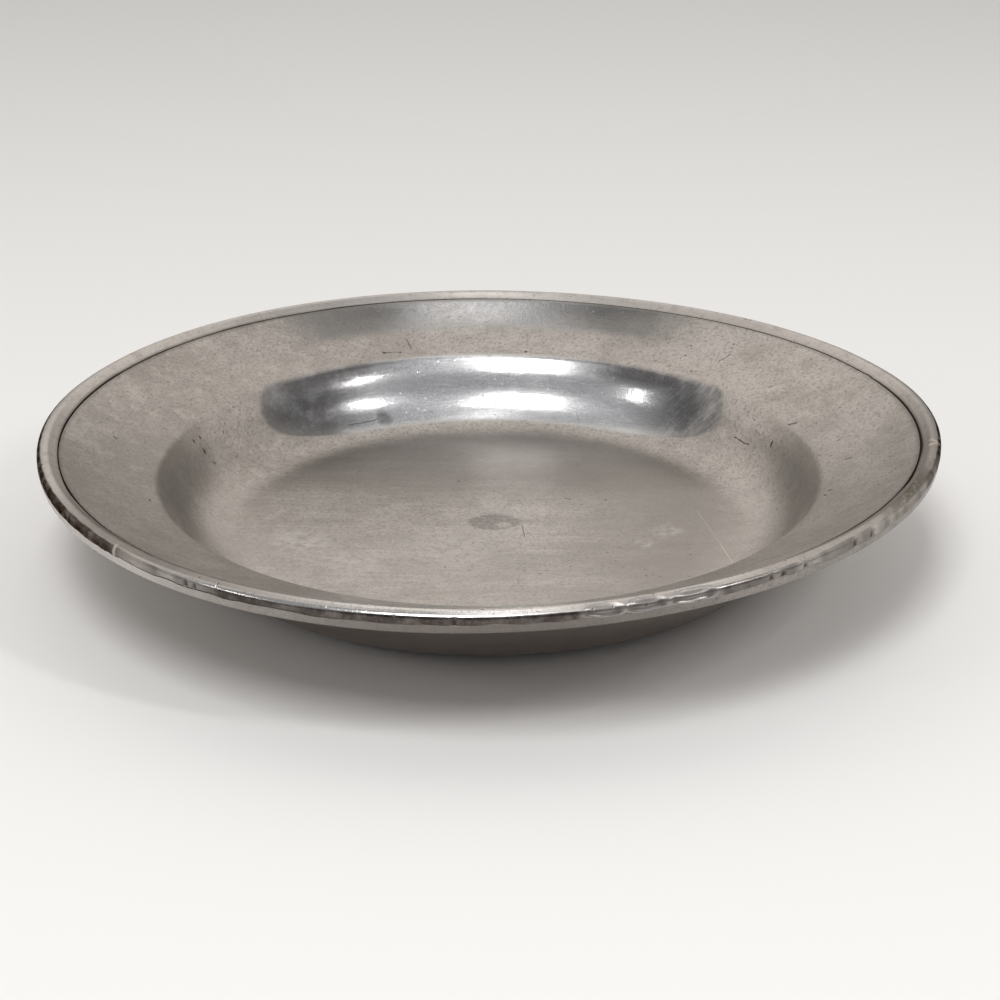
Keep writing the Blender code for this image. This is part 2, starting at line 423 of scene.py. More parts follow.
def make_band():
    """Rim band: the section runs up the land, over the crest, down the outer face and back along the seat,
    and is carried round with scooped dents, notches, a jagged lower edge and the seam's wander. Dents push
    the surface in along the section's own normal."""
    line = section([
        (SEAM_RADIUS, SEAM_Z - BAND_SINK, EDGE_ROUND),
        (RIM_RADIUS - CREST_INSET, CREST_Z + CREST_RISE, CREST_ROUND),
        (RIM_RADIUS - CORNER_INSET, CREST_Z - CORNER_DROP, CORNER_ROUND),
        (RIM_RADIUS, BAND_UNDERSIDE_Z, EDGE_ROUND),
        (SEAM_RADIUS, BAND_UNDERSIDE_Z, EDGE_ROUND),
    ], BAND_ALONG, True, turn_length=0.0012, weight=band_weight)
    angle = np.linspace(0.0, 2.0 * np.pi, BAND_ROUND, endpoint=False)[None, :]
    radius, height = line[:, :1], line[:, 1:]
    tangent = np.roll(line, -1, axis=0) - np.roll(line, 1, axis=0)
    tangent = tangent / np.linalg.norm(tangent, axis=1, keepdims=True)
    normal_r, normal_z = -tangent[:, 1:], tangent[:, :1]

    # Parts of the section
    drop, inset = CREST_Z - height, RIM_RADIUS - radius
    top = smoothstep(normal_z, 0.0, 0.35)
    inner = hump((radius - SEAM_RADIUS) / BAND_SEAM_REACH)
    outside = smoothstep(inset, *OUTSIDE_INSETS) * (1.0 - smoothstep(normal_z, -0.3, -0.8))
    lower = hump((height - BAND_UNDERSIDE_Z) / JOIN_REACH) * smoothstep(inset, *BAND_JOIN_INSETS)
    crest = smoothstep(inset, *CREST_INSETS) * smoothstep(drop, *CREST_DROPS)

    # Dirt in the seam and on the seat, and the seam's line
    grime = inner * smoothstep(height - SEAM_Z, 0.00005, -0.0003)
    seat = smoothstep(height, BAND_UNDERSIDE_Z + 0.0002, BAND_UNDERSIDE_Z)
    seat = seat * smoothstep(inset, 0.0004, 0.0012)
    dark_land = 0.0
    for bearing, half_width, strength in DARK_LANDS:
        dark_land = np.maximum(dark_land, strength * stretch(angle, bearing, half_width))
    halo = smoothstep(radius - SEAM_RADIUS, *SEAM_HALO) * (normal_z > 0.3) * (0.45 + 0.4 * dark_land)
    halo = halo * (1.0 - seam_clean(angle))
    grime = np.clip(np.maximum(grime, halo) + seat, 0.0, 1.0)
    opening = SEAM_OPENING * (1.0 + ring_noise(angle, COARSE_CHIPS[:60])) * (1.0 - seam_clean(angle))
    radius_out = radius + (seam_wander(angle) + opening) * inner
    height_out = height + join_line(angle) * lower

    # Painted shade: the outer face is painted dark, thinner where the face is rubbed, and so are the dark
    # lands
    ragged = ring_noise(angle, FINE_CHIPS)
    face_shade_top = FACE_SHADE_DROP + FACE_SHADE_RAGGED * ragged
    for bearing, half_width, lower_by in FACE_SHADE_LOWER:
        face_shade_top = face_shade_top + lower_by * stretch(angle, bearing, half_width)
    face = smoothstep(drop, face_shade_top - 0.00010, face_shade_top + 0.00015) * outside
    for bearing, half_width in RUBBED_FACES:
        face = face * (1.0 - stretch(angle, bearing, half_width) * (0.60 + 0.30 * ragged))
    face = np.maximum(face, 0.62 * dark_land * smoothstep(inset, 0.0005, 0.0013) * top)

    # Scooped dents, painted dark inside as painted shade, with lower edges polished and painted light as a
    # painted highlight, and notches that hold dirt
    dull = np.zeros_like(radius_out)
    rub_and_highlight = np.zeros_like(radius_out)
    for bearing, half_width, depth in SCALLOPS:
        across = np.abs(turn_from(angle, bearing) / half_width) ** SCALLOP_POWER
        reach = across + np.abs((drop - SCALLOP_DROP) / SCALLOP_HALF) ** SCALLOP_POWER
        dent = smoothstep(reach, 1.05, 0.15) * outside
        radius_out = radius_out - depth * dent * normal_r
        height_out = height_out - depth * dent * normal_z
        around_dent = stretch(angle, bearing, half_width * 1.3)
        dull = np.maximum(dull, around_dent * smoothstep(drop, 0.0001, 0.0005))
        # Painted shade: the inside of each dent is painted dark
        face = face * (1.0 - 0.85 * around_dent) + 0.45 * dent
        # Painted highlight: the lower edge of each dent is polished and painted light
        lower_half = smoothstep(drop, SCALLOP_DROP - 0.0002, SCALLOP_DROP + 0.0008)
        rub_and_highlight = np.maximum(rub_and_highlight, hump((reach - 1.0) / 0.55) * lower_half * outside)
    for bearing, half_width, depth in NOTCHES:
        cut = np.clip(1.0 - np.abs(turn_from(angle, bearing) / half_width), 0.0, 1.0)
        cut = cut * outside * smoothstep(drop, 0.0008, 0.0022)
        radius_out = radius_out - depth * cut
        grime = np.clip(grime + 0.7 * cut, 0.0, 1.0)

    # Soldered joint of the strip, forked nick and ripple of the crest, and the bend of the rim
    from_joint = turn_from(angle, STRIP_JOINT)
    solder = hump(from_joint / SOLDER_HALF) * outside * smoothstep(drop, 0.0003, 0.0008)
    radius_out = radius_out - JOINT_DEPTH * hump(from_joint / JOINT_HALF) * outside
    face = face * (1.0 - 0.8 * solder)
    nick = np.zeros_like(radius_out)
    for fork in (-NICK_FORK, NICK_FORK):
        side = turn_from(angle, CREST_NICK) - fork * inset / NICK_INSETS[1]
        nick = np.maximum(nick, hump(side / NICK_HALF) * smoothstep(inset, *NICK_INSETS) * top)
    height_out = height_out - NICK_DEPTH * nick
    height_out = height_out + CREST_RIPPLE * ring_noise(angle, FINE_CHIPS[:40]) * crest
    height_out = height_out + rim_warp(radius, angle)

    # Speck, stain and polish of the crest; the polish also paints the crest lighter as a painted highlight
    speck_bearing, speck_inset, speck_radius = SPECK
    beside_speck = np.radians(turn_from(angle, speck_bearing)) * RIM_RADIUS
    away = np.sqrt(beside_speck ** 2 + (inset - speck_inset) ** 2)
    grime = np.clip(grime + smoothstep(away, speck_radius, 0.5 * speck_radius) * top, 0.0, 1.0)
    polish = 0.15 * np.ones_like(radius_out)
    for bearing, half_width, strength in POLISHED_AND_LIT_CRESTS:
        polish = np.maximum(polish, strength * stretch(angle, bearing, half_width))
    stain = stretch(angle, *CREST_STAIN) * smoothstep(inset, 0.0040, 0.0030)
    stain = stain * smoothstep(drop, 0.0012, 0.0004)
    polish = np.maximum(polish * crest * (1.0 - dull) - 0.7 * dull, 0.3 * rub_and_highlight)
    attributes = {
        "grime": grime,
        "polish": polish,
        "face": face,
        "stain": stain,
        "solder": np.maximum(solder, nick),
    }
    return mesh_piece("pewter_rim_band", around(radius_out, height_out, angle), None, attributes)


class Nodes:
    """A node tree under construction, with short calls for the nodes that it needs."""

    def __init__(self, tree):
        self.nodes = tree.nodes
        self.links = tree.links

    def put(self, socket, value):
        """Link a socket or set a plain value."""
        if isinstance(value, bpy.types.NodeSocket):
            self.links.new(value, socket)
        else:
            socket.default_value = value

    def make(self, kind, *values, **settings):
        """Outputs of a new node with the given settings, and values for its first inputs."""
        node = self.nodes.new("ShaderNode" + kind)
        for name, setting in settings.items():
            setattr(node, name, setting)
        for socket, value in zip(node.inputs, values):
            self.put(socket, value)
        return node.outputs

    def math(self, operation, *values, clamp=False):
        """Result of a maths node on sockets and numbers."""
        return self.make("Math", *values, operation=operation, use_clamp=clamp)[0]

    def times(self, first, second):
        """Product of two values."""
        return self.math("MULTIPLY", first, second)

    def add(self, base, value, share, clamp=False):
        """A base plus a share of a value, held in 0..1 if asked."""
        return self.math("MULTIPLY_ADD", value, share, base, clamp=clamp)

    def larger(self, first, second):
        """The larger of two values."""
        return self.math("MAXIMUM", first, second)

    def vector(self, operation, *values):
        """Result of a vector maths node: a number for a length or dot product, else a vector."""
        outputs = self.make("VectorMath", *values, operation=operation)
        return outputs["Value" if operation in ("LENGTH", "DOT_PRODUCT") else "Vector"]

    def split(self, vector):
        """The X, Y and Z of a vector."""
        return tuple(self.make("SeparateXYZ", vector))

    def level(self, x, y):
        """A vector from its X and Y, with no Z."""
        return self.make("CombineXYZ", x, y)[0]

    def step(self, value, low, high, out_low=0.0, out_high=1.0):
        """An S curve of a value between two limits, which may come in falling order."""
        ends = (low, high, out_low, out_high)
        return self.make("MapRange", value, *ends, interpolation_type="SMOOTHSTEP")["Result"]

    def mix(self, factor, first, second):
        """A colour mixed from two by a factor."""
        node = self.nodes.new("ShaderNodeMix")
        node.data_type = "RGBA"
        self.put(node.inputs["Factor"], factor)
        self.put(node.inputs["A"], first)
        self.put(node.inputs["B"], second)
        return node.outputs["Result"]

    def coat(self, colour, tone, mask, strength):
        """A colour with a tone laid over it where a mask says, at a strength."""
        return self.mix(self.times(mask, strength), colour, tone)


class Finish(Nodes):
    """A material under construction, with the patterns that the pewter needs."""

    def __init__(self, name):
        self.material = bpy.data.materials.new(name)
        self.material.use_nodes = True
        super().__init__(self.material.node_tree)
        self.shader = self.nodes["Principled BSDF"]
        self.place = self.make("TexCoord")["Object"]

    def give(self, name, value):
        """Link or set an input of the shader."""
        self.put(self.shader.inputs[name], value)

    def noise(self, scale, detail=3.0, roughness=0.5, place=None, stretch=None, output="Fac"):
        """Noise in 0..1 on object coordinates, stretched along the axes if asked. The output Color gives
        three independent values, for shifting a place."""
        node = self.nodes.new("ShaderNodeTexNoise")
        for name, value in (("Scale", scale), ("Detail", detail), ("Roughness", roughness)):
            node.inputs[name].default_value = value
        where = place or self.place
        if stretch:
            where = self.vector("MULTIPLY", where, stretch)
        self.links.new(where, node.inputs["Vector"])
        return node.outputs[output]

    def brushed(self, degrees, along, across, upright=False):
        """Noise drawn out along a direction in the level plane, or in the upright plane through X and Z:
        along and across are features per metre."""
        run = (math.cos(math.radians(degrees)), math.sin(math.radians(degrees)))
        places = []
        for (first, second), scale in ((run, along), ((-run[1], run[0]), across)):
            way = (first * scale, 0.0, second * scale) if upright else (first * scale, second * scale, 0.0)
            places.append(self.vector("DOT_PRODUCT", self.place, way))
        return self.noise(1.0, 4.0, 0.6, place=self.level(*places))

    def noise_line(self, value):
        """Noise along one value, for turning lines."""
        node = self.nodes.new("ShaderNodeTexNoise")
        node.noise_dimensions = "1D"
        node.inputs["Scale"].default_value = 1.0
        node.inputs["Detail"].default_value = 3.0
        self.links.new(value, node.inputs["W"])
        return node.outputs["Fac"]

    def sprinkle(self, scale, size, share):
        """Small round pits in a share of the cells of a Voronoi pattern."""
        node = self.nodes.new("ShaderNodeTexVoronoi")
        node.inputs["Scale"].default_value = scale
        self.links.new(self.place, node.inputs["Vector"])
        pit = self.step(node.outputs["Distance"], size, size * 0.4)
        chosen = self.math("LESS_THAN", self.split(node.outputs["Color"])[0], share)
        return self.times(pit, chosen)

    def spot(self, place, x, y, size, squash=1.0, soft=0.6):
        """Disc of 1 at a point given in millimetres, fading to 0 over the outer share of its radius that
        soft gives."""
        offset = self.vector("SUBTRACT", place, (x / 1000.0, y / 1000.0, 0.0))
        if squash != 1.0:
            offset = self.vector("MULTIPLY", offset, (1.0, squash, 1.0))
        return self.step(self.vector("LENGTH", offset), size / 1000.0, size * (1.0 - soft) / 1000.0)

    def stroke(self, place, x0, y0, x1, y1, half):
        """Line of 1 between two points given in millimetres, fading to 0 at its half width: the distance
        to the nearest point of the line, whose share along it is held between 0 and 1."""
        start = (x0 / 1000.0, y0 / 1000.0, 0.0)
        run = ((x1 - x0) / 1000.0, (y1 - y0) / 1000.0, 0.0)
        length_squared = run[0] ** 2 + run[1] ** 2
        offset = self.vector("SUBTRACT", place, start)
        share = self.math("DIVIDE", self.vector("DOT_PRODUCT", offset, run), length_squared, clamp=True)
        along = self.vector("MULTIPLY", run, share)
        gap = self.vector("LENGTH", self.vector("SUBTRACT", offset, along))
        return self.step(gap, half / 1000.0, half * 0.3 / 1000.0)

    def spots(self, place, discs, soft=0.6):
        """1 in any of several discs, each given by its x, y and radius."""
        most = 0.0
        for disc in discs:
            most = self.larger(most, self.spot(place, *disc, soft=soft))
        return most

    def strokes(self, place, lines):
        """1 on any of several lines, each given by its ends and half width."""
        most = 0.0
        for line in lines:
            most = self.larger(most, self.stroke(place, *line))
        return most

    def attribute(self, name):
        """A value that the mesh carries at its points."""
        return self.make("Attribute", attribute_name=name)["Fac"]

    def bump(self, height, strength, distance, normal=None):
        """Normal tilted by a height, on top of an earlier normal if there is one."""
        node = self.nodes.new("ShaderNodeBump")
        node.inputs["Strength"].default_value = strength
        node.inputs["Distance"].default_value = distance
        self.put(node.inputs["Height"], height)
        if normal:
            self.links.new(normal, node.inputs["Normal"])
        return node.outputs["Normal"]


# Colours of the metal and of what lies on it, as linear red, green, blue and alpha
WARM_PEWTER = (0.52, 0.482, 0.448, 1.0)
DULL_PEWTER = (0.36, 0.33, 0.30, 1.0)
# Polished patch of the booge: bright cool grey, partly painted sheen
COOL_PEWTER = (0.67, 0.675, 0.68, 1.0)
# Painted shade on the ends and shoulder of that patch
SHADY_PEWTER = (0.155, 0.152, 0.153, 1.0)
# Polished edge of the flange: painted sheen, darker towards its ends as painted shade
STEELY_PEWTER = (0.40, 0.40, 0.40, 1.0)
SHADED_SHEEN_PEWTER = (0.19, 0.19, 0.188, 1.0)
# Painted shade with tarnish: the darker back of the floor, by the back wall of the well
TARNISH_AND_SHADE_PEWTER = (0.245, 0.221, 0.201, 1.0)
SEAM_DIRT = (0.060, 0.048, 0.040, 1.0)
PIT_DIRT = (0.085, 0.066, 0.055, 1.0)
PALE_PEWTER = (0.60, 0.56, 0.525, 1.0)
BLOOM_PEWTER = (0.64, 0.605, 0.575, 1.0)
DARK_PEWTER = (0.235, 0.213, 0.192, 1.0)
# Painted light and painted shade of the lip: pale on the left, dark in front and at the right
LIT_LIP_PEWTER = (0.57, 0.54, 0.51, 1.0)
SHADED_LIP_PEWTER = (0.172, 0.154, 0.142, 1.0)
# Painted shade: the underside
UNDERSIDE_PEWTER = (0.36, 0.322, 0.298, 1.0)
FLOOR_STAIN = (0.18, 0.166, 0.157, 1.0)
SHINE_PEWTER = (0.72, 0.68, 0.62, 1.0)
BAND_PEWTER = (0.55, 0.515, 0.48, 1.0)
# Painted highlight on the polished crest
BRIGHT_PEWTER = (0.76, 0.735, 0.71, 1.0)
# Painted shade: the dark outer face of the band
FACE_SHADE_PEWTER = (0.076, 0.062, 0.056, 1.0)
CREST_TARNISH = (0.13, 0.118, 0.090, 1.0)
SOLDER_PEWTER = (0.62, 0.53, 0.45, 1.0)

# Tints of the glancing reflection: clean metal, dirt, and the painted shade of the outer face
CLEAN_TINT = (1.0, 1.0, 1.0, 1.0)
DIRT_TINT = (0.25, 0.20, 0.16, 1.0)
FACE_SHADE_TINT = (0.17, 0.147, 0.132, 1.0)

# Polished patch of the booge at the back: radius where it starts and ends, in metres, how far round it
# reaches, as the sine of the bearing, and how its ends lean and round off
LENS_LOW = (0.0852, 0.0878)
LENS_HIGH = (0.1035, 0.1005)
LENS_ENDS = (0.584, 0.610)
LENS_LEAN = 0.15
LENS_TOP_ROUND = (0.0970, 11.0)
LENS_FOOT_ROUND = (0.0985, 0.0115, 2.5, 0.22)

# Dark ends of that patch, painted shade: distance from the middle where they start and end, in metres, left
# and right
LENS_DARK_LEFT = (-0.036, -0.058)
LENS_DARK_RIGHT = (0.044, 0.068)

# Hatched scratches at its right end: slope in degrees, features per metre along and across
LENS_HATCH = (48.0, 110.0, 1500.0)
LENS_HATCH_X = (0.055, 0.066)

# Pits in the dish: x, y and radius in millimetres
PITS = [
    (-37.1, 99.5, 0.8), (-31.4, 100.7, 0.6), (13.2, 103.0, 0.8), (68.8, 88.6, 0.5), (70.9, 92.9, 0.5),
    (85.0, 87.0, 0.5), (69.8, 79.5, 0.5), (100.2, -28.7, 0.8), (98.5, -31.6, 0.7), (108.7, 7.4, 0.5),
    (91.4, 30.6, 0.7), (-91.8, 28.3, 0.7), (-94.6, 26.6, 0.6), (-88.9, 29.4, 0.6), (-93.2, 30.5, 0.5),
    (-9.9, 34.8, 0.5), (-13.1, -32.2, 0.5), (15.0, -37.1, 0.5), (24.0, -32.2, 0.4), (37.5, 18.7, 0.4),
]

# Scratches in the dish: both ends and half width in millimetres
SCRATCHES = [
    (-37.1, 99.5, -31.4, 100.7, 0.22), (-29.4, 108.1, -27.5, 102.8, 0.20), (79.4, 80.7, 83.7, 82.3, 0.25),
    (81.5, 47.8, 85.6, 40.3, 0.13), (10.2, -2.0, 11.0, -10.4, 0.18), (24.3, 20.4, 26.0, 19.0, 0.35),
    (-49.0, 75.2, -39.0, 80.8, 0.22), (96.8, 30.3, 98.8, 29.6, 0.50), (108.2, -8.8, 109.8, -9.4, 0.45),
    (115.6, -36.8, 117.8, -35.4, 0.35), (-99.3, -32.0, -98.7, -33.4, 0.40),
    (-116.2, 6.0, -115.2, 5.2, 0.40),
]

# Pale scratches in the floor of the well: both ends and half width in millimetres
SHINES = [(65.9, 9.1, 70.4, -15.4, 0.09), (70.4, -15.4, 72.6, -30.0, 0.20)]

# Pale blooms on the floor, and places where small pits crowd: x, y and radius in millimetres
BLOOMS = [
    (55.2, -6.6, 7.5), (48.0, -15.5, 5.0), (-57.0, -13.0, 17.0), (-40.0, -28.0, 19.0), (-12.0, -20.0, 24.0),
]
PITTED = [(-84.0, 46.0, 19.0), (88.0, 42.0, 18.0), (102.0, -4.0, 16.0)]

# Wipe marks: bearing in degrees, features per metre along and across, strength
WIPES = [(4.0, 9.0, 150.0, 0.55), (-5.0, 22.0, 700.0, 0.40)]

# Stain on the floor of the well: middle and half sizes in millimetres
STAIN = (1.5, 1.1, 9.4, 6.8)

# Clean bites out of the stain: x, y and radius in millimetres
STAIN_BITES = [(4.2, -1.0, 3.3), (8.2, -4.8, 4.0)]

# Middle of the darker back of the floor, partly tarnish and partly painted shade: x, y and radius in
# millimetres
GATHERED_TARNISH_AND_SHADE = (8.0, 70.0, 27.0)

# Dark patch low on the booge at the back left: middle and radius in millimetres
SMUDGE = (-36.6, 81.8, 3.8)

# Tones of the dish: radii in metres where each starts and is full
FLOOR_EDGE = (0.086, 0.078)
TARNISH_AND_SHADE_EDGE = (0.087, 0.073)
DULL_FLOOR_EDGE = (0.087, 0.066)
STEEP_LOW, STEEP_HIGH = (0.0895, 0.0945), (0.1020, 0.0995)
FOOT_LOW, FOOT_HIGH = (0.062, 0.084), (0.0925, 0.0860)
SHOULDER_LOW = (0.0955, 0.0990)
POLISH_AND_SHEEN_EDGE = (0.1130, 0.1190)

# The same for their ends round the plate, as the sine of the bearing, which is 1 at the back
BESIDE_WELL = (0.50, 0.15)
SHOULDER_ENDS = (0.985, 0.88)
POLISH_AND_SHEEN_ENDS = (0.78, 0.90)
TARNISH_AND_SHADE_ENDS = (0.25, 0.75)

# The same along X or Y, in metres
# Painted shade: the metal is painted darker towards the left
SHADED_LEFT = (-0.01, -0.10)
DULL_RIGHT = (0.01, 0.06)
TARNISH_AND_SHADE_BACK = (0.004, 0.040)
PALE_FRONT = (0.01, -0.07)
SHADED_SHEEN_SIDES = (0.018, 0.044)

# How ragged the edges of pits and of stains are, in metres
RAGGED_PITS = (0.0010, 0.0010, 0.0)
RAGGED_STAINS = (0.0035, 0.0035, 0.0)

# Turning lines for each metre of radius, and hairlines for each radian round the polished patch
TURNING_LINES = 2600.0
HAIRLINES_ROUND = 14.0


def lens_mask(f, at):
    """1 on the polished patch of the booge: a ring between two radii, ended where the sine of the bearing
    falls too low. The ends lean with X, and are cut back towards the patch's top and foot."""
    ring = f.times(f.step(at.radius, *LENS_LOW), f.step(at.radius, *LENS_HIGH))
    tip = f.add(at.facing, at.x, LENS_LEAN)
    top_start, top_cut = LENS_TOP_ROUND
    above = f.larger(f.math("SUBTRACT", at.radius, top_start), 0.0)
    tip = f.add(tip, above, -top_cut)
    foot_start, foot_height, foot_power, foot_cut = LENS_FOOT_ROUND
    below = f.larger(f.math("SUBTRACT", foot_start, at.radius), 0.0)
    below = f.math("POWER", f.math("DIVIDE", below, foot_height), foot_power)
    tip = f.add(tip, below, -foot_cut)
    return f.times(ring, f.step(tip, *LENS_ENDS))


class DishPlaces:
    """What the parts of the dish's finish share: where a point lies, the noises there, and masks of the
    floor, the upper side, the dirt and the two polished places."""

    def __init__(self, f):
        self.flat = f.vector("MULTIPLY", f.place, (1.0, 1.0, 0.0))
        self.radius = f.vector("LENGTH", self.flat)
        self.x, self.y, _ = f.split(self.flat)
        self.facing = f.math("DIVIDE", self.y, self.radius)
        wobble = f.vector("SUBTRACT", f.noise(420.0, 3.0, output="Color"), (0.5, 0.5, 0.5))
        self.ragged = f.vector("ADD", self.flat, f.vector("MULTIPLY", wobble, RAGGED_PITS))
        self.stain_place = f.vector("ADD", self.flat, f.vector("MULTIPLY", wobble, RAGGED_STAINS))
        self.cloud = f.noise(24.0, 4.0, 0.55)
        self.mottle = f.noise(170.0, 6.0, 0.62)
        self.grain = f.noise(900.0, 3.0, 0.65)
        self.floor = f.step(self.radius, *FLOOR_EDGE)
        self.under = f.attribute("under")
        self.upper = f.math("SUBTRACT", 1.0, self.under)
        self.grime = f.attribute("grime")
        self.lens = lens_mask(f, self)
        edge = f.times(f.step(self.radius, *POLISH_AND_SHEEN_EDGE), f.step(self.facing, *POLISH_AND_SHEEN_ENDS))
        self.edge = f.times(edge, f.step(self.cloud, 0.25, 0.55, 0.7, 1.0))


def worn_metal(f, at):
    """Cloudy warm grey metal, painted darker towards the left as painted shade, with smears and wipe marks
    on the floor, pale patches outside it and fine dark grain."""
    dull = f.times(f.step(at.cloud, 0.40, 0.66), 0.55)
    # Painted shade: darker towards the left
    dull = f.add(dull, f.step(at.x, *SHADED_LEFT), 0.50, clamp=True)
    colour = f.mix(dull, WARM_PEWTER, DULL_PEWTER)
    colour = f.coat(colour, DULL_PEWTER, f.step(at.mottle, 0.44, 0.70), 0.60)
    colour = f.coat(colour, PALE_PEWTER, f.step(at.mottle, 0.48, 0.32), 0.40)
    smear = f.noise(26.0, 5.0, 0.6, stretch=(0.30, 1.8, 1.0))
    colour = f.coat(colour, PALE_PEWTER, f.step(smear, 0.52, 0.66), f.times(at.floor, 0.75))
    patch = f.step(f.noise(42.0, 5.0, 0.6), 0.50, 0.64)
    colour = f.coat(colour, PALE_PEWTER, patch, f.add(0.50, at.floor, -0.50))
    for degrees, along, across, strength in WIPES:
        wipe = f.brushed(degrees, along, across)
        strength = f.times(at.floor, strength)
        colour = f.coat(colour, PALE_PEWTER, f.step(wipe, 0.52, 0.70), strength)
        colour = f.coat(colour, DULL_PEWTER, f.step(wipe, 0.48, 0.30), strength)
    colour = f.coat(colour, DARK_PEWTER, f.step(at.grain, 0.46, 0.74), 0.75)
    speckle = f.noise(2300.0, 2.0, 0.6)
    return f.coat(colour, DARK_PEWTER, f.step(speckle, 0.48, 0.72), 0.65)


def floor_tones(f, at, colour):
    """The floor is darker at the back, partly tarnish and partly painted shade, paler in front and duller
    at the right.
    """
    # Painted shade with tarnish: the back of the floor is painted darker near the back wall
    tarnish_and_shade = f.times(f.step(at.radius, *TARNISH_AND_SHADE_EDGE), f.step(at.y, *TARNISH_AND_SHADE_BACK))
    tarnish_and_shade = f.times(tarnish_and_shade, f.step(f.brushed(-3.0, 9.0, 32.0), 0.28, 0.56, 0.70, 1.0))
    tarnish_and_shade = f.times(tarnish_and_shade, f.step(at.facing, *TARNISH_AND_SHADE_ENDS, 0.0, 0.85))
    gathered = f.spot(at.flat, *GATHERED_TARNISH_AND_SHADE, squash=1.7, soft=0.9)
    tarnish_and_shade = f.add(tarnish_and_shade, gathered, 0.25, clamp=True)
    colour = f.mix(tarnish_and_shade, colour, TARNISH_AND_SHADE_PEWTER)
    colour = f.coat(colour, PALE_PEWTER, f.times(at.floor, f.step(at.y, *PALE_FRONT)), 0.32)
    right = f.times(f.step(at.radius, *DULL_FLOOR_EDGE), f.step(at.x, *DULL_RIGHT))
    return f.coat(colour, DULL_PEWTER, right, 0.75)


def booge_tones(f, at, colour):
    """Everywhere but at the back the steep part of the booge is painted dark as painted shade and its foot
    pale as painted light. At the back it has a polished patch, its bright cool colour partly painted sheen
    and its ends and shoulder painted dark as painted shade, and the flange has a polished edge whose
    steely colour is painted sheen, darker towards its ends as painted shade."""
    # Painted shade and painted light: beside the well the steep part of the booge is painted dark and its
    # foot pale
    beside_well = f.step(at.facing, *BESIDE_WELL)
    steep = f.times(f.step(at.radius, *STEEP_LOW), f.step(at.radius, *STEEP_HIGH))
    colour = f.coat(colour, DARK_PEWTER, f.times(steep, beside_well), 0.50)
    foot = f.times(f.step(at.radius, *FOOT_LOW), f.step(at.radius, *FOOT_HIGH))
    colour = f.coat(colour, PALE_PEWTER, f.times(foot, beside_well), 0.30)
    # Painted shade: the ends and shoulder of the polished patch are painted dark; its cool colour is partly
    # painted sheen
    shoulder = f.times(f.step(at.radius, *SHOULDER_LOW), f.step(at.facing, *SHOULDER_ENDS))
    ends = f.larger(f.step(at.x, *LENS_DARK_LEFT), f.step(at.x, *LENS_DARK_RIGHT))
    shade = f.larger(ends, shoulder)
    shade = f.times(shade, f.step(at.mottle, 0.30, 0.58, 0.72, 1.0))
    hatch = f.step(f.brushed(*LENS_HATCH, upright=True), 0.46, 0.62)
    hatch = f.times(hatch, f.step(at.x, *LENS_HATCH_X))
    shade = f.add(shade, hatch, -0.16, clamp=True)
    colour = f.coat(colour, f.mix(shade, COOL_PEWTER, SHADY_PEWTER), at.lens, 0.85)
    # Painted sheen: the polished edge of the flange is painted steely grey, darker towards its ends as
    # painted shade
    beside = f.step(f.math("ABSOLUTE", at.x), *SHADED_SHEEN_SIDES)
    return f.coat(colour, f.mix(beside, STEELY_PEWTER, SHADED_SHEEN_PEWTER), at.edge, 0.80)


def lip_and_underside_tones(f, at, colour):
    """Stretches of the lip painted pale as painted light and dark as painted shade, pale blooms on the
    floor and the underside painted darker as painted shade.
    """
    # Painted light: the lip is painted pale on the left
    colour = f.coat(colour, LIT_LIP_PEWTER, f.attribute("lip"), 0.8)
    blooms = f.times(f.spots(at.flat, BLOOMS, soft=0.9), f.step(f.noise(330.0, 5.0, 0.7), 0.40, 0.58))
    colour = f.coat(colour, BLOOM_PEWTER, blooms, 0.55)
    # Painted shade: the lip is painted dark in front and at the right
    colour = f.coat(colour, SHADED_LIP_PEWTER, f.attribute("dull_lip"), 0.85)
    # Painted shade: the underside is painted darker
    return f.coat(colour, UNDERSIDE_PEWTER, at.under, 0.8)


def pits_and_scratches(f, at):
    """1 in the pits and scratches of the upper side, which have ragged edges, and less in small pits."""
    holes = f.larger(f.spots(at.ragged, PITS), f.strokes(at.ragged, SCRATCHES))
    crowd = f.larger(f.step(f.noise(17.0, 2.0), 0.44, 0.62), f.spots(at.flat, PITTED, soft=0.8))
    small = f.times(f.sprinkle(480.0, 0.24, 0.22), crowd)
    return f.times(f.larger(holes, f.times(small, 0.5)), at.upper)


def stain_tones(f, at, colour):
    """Stain in the middle of the floor, smudge on the booge and pale scratches."""
    stain_x, stain_y, across, deep = STAIN
    stain = f.spot(at.stain_place, stain_x, stain_y, across, squash=across / deep, soft=0.25)
    for x, y, size in STAIN_BITES:
        bite = f.spot(at.stain_place, x, y, size, squash=1.2, soft=0.5)
        stain = f.times(stain, f.add(1.0, bite, -0.85))
    smudge = f.spot(at.ragged, *SMUDGE, squash=1.2, soft=0.60)
    stain = f.times(f.larger(stain, smudge), at.upper)
    stain = f.times(stain, f.step(f.noise(1500.0, 3.0), 0.28, 0.56, 0.45, 1.0))
    colour = f.coat(colour, FLOOR_STAIN, stain, 0.68)
    return f.coat(colour, SHINE_PEWTER, f.strokes(at.flat, SHINES), 0.7)


